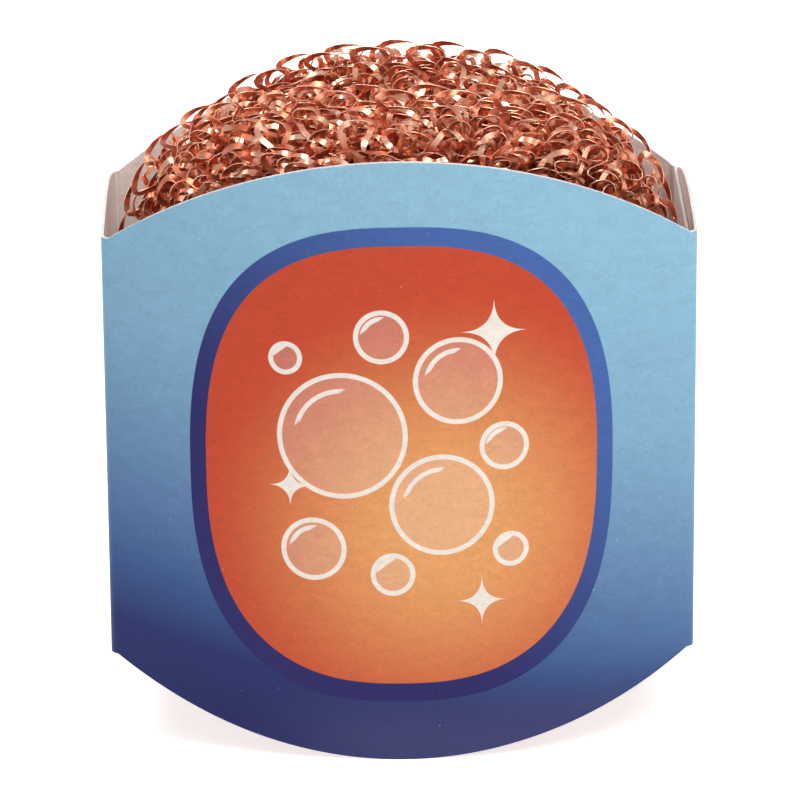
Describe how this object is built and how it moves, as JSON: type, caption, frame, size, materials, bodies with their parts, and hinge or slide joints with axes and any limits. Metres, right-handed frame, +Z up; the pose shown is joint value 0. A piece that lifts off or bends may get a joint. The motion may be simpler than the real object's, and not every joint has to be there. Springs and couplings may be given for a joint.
{
  "type": "pot scrubber pack",
  "caption": "Knitted copper-ribbon pot scrubbers standing in a bowed card sleeve that is open at both ends; each scrubber pulls up out of the sleeve to scour pans.",
  "frame": {"origin": "on the surface the sleeve stands on, under the middle of the sleeve", "axes": "+Z up, -Y out of the front panel, +X to the right of the front panel, where the glued flap is"},
  "size_m": [0.09, 0.061, 0.1019],
  "materials": {
    "printed_card": "printed and varnished paperboard, warm grey and uncoated inside",
    "dry_glue": "dried paste",
    "packed_ribbon": "copper ribbon knit, packed and mostly air, in shadow",
    "copper_ribbon": "bright flat copper ribbon"
  },
  "bodies": {
    "sleeve": {"card_sleeve": "printed_card", "flap_glue": "dry_glue"},
    "front_scrubber": {"front_scrubber_roll": "packed_ribbon", "front_scrubber_knit": "copper_ribbon"},
    "rear_scrubber": {"rear_scrubber_roll": "packed_ribbon", "rear_scrubber_knit": "copper_ribbon"}
  },
  "joints": [
    {"name": "front_scrubber_pull", "type": "slide", "parent": "sleeve", "child": "front_scrubber", "axis": [0, 0, 1], "range_m": [0, 0.1]},
    {"name": "rear_scrubber_pull", "type": "slide", "parent": "sleeve", "child": "rear_scrubber", "axis": [0, 0, 1], "range_m": [0, 0.1]}
  ]
}
